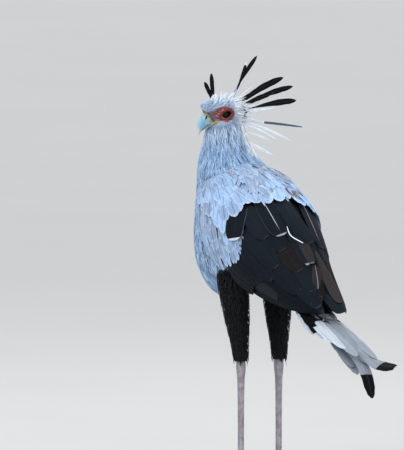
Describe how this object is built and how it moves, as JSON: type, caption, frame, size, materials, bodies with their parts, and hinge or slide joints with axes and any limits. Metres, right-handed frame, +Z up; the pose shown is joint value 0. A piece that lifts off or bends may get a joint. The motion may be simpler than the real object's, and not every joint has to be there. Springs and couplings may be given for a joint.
{
  "type": "secretary bird",
  "caption": "Long-legged crested bird of prey standing still, folded wings, long tail, head turned to its left, as a life-size museum model.",
  "frame": {"origin": "centre of the whole bird's box, on the floor it stands on", "axes": "-Y the way the body faces, +X the bird's left side, +Z up"},
  "size_m": [0.3526, 0.9392, 1.1173],
  "materials": {
    "grey_plumage": "soft matte light bluish-grey body feathers",
    "pale_plumage": "soft matte pale grey head and neck feathers",
    "wing_plumage": "grey coverts over satin black-brown flight feathers with pale fringes",
    "tail_plumage": "grey and white tail feathers with black bands and white tips",
    "thigh_plumage": "matte black thigh feathers",
    "bill_horn": "pale blue-grey horn with a yellow cere, satin",
    "leg_scales": "grey-pink scaly skin, satin",
    "claw_horn": "dark horn, satin",
    "eye": "dark brown wet eye"
  },
  "bodies": {
    "root": {"torso": "grey_plumage", "neck": "pale_plumage", "head": "pale_plumage", "bill_upper": "bill_horn", "bill_lower": "bill_horn", "eye_left": "eye", "eye_right": "eye", "wing_left": "wing_plumage", "wing_right": "wing_plumage", "tail": "tail_plumage", "thigh_left": "thigh_plumage", "thigh_right": "thigh_plumage", "tarsus_left": "leg_scales", "tarsus_right": "leg_scales", "foot_left": "leg_scales", "foot_right": "leg_scales", "claw_left_1": "claw_horn", "claw_left_2": "claw_horn", "claw_left_3": "claw_horn", "claw_left_4": "claw_horn", "claw_right_1": "claw_horn", "claw_right_2": "claw_horn", "claw_right_3": "claw_horn", "claw_right_4": "claw_horn"}
  },
  "joints": []
}
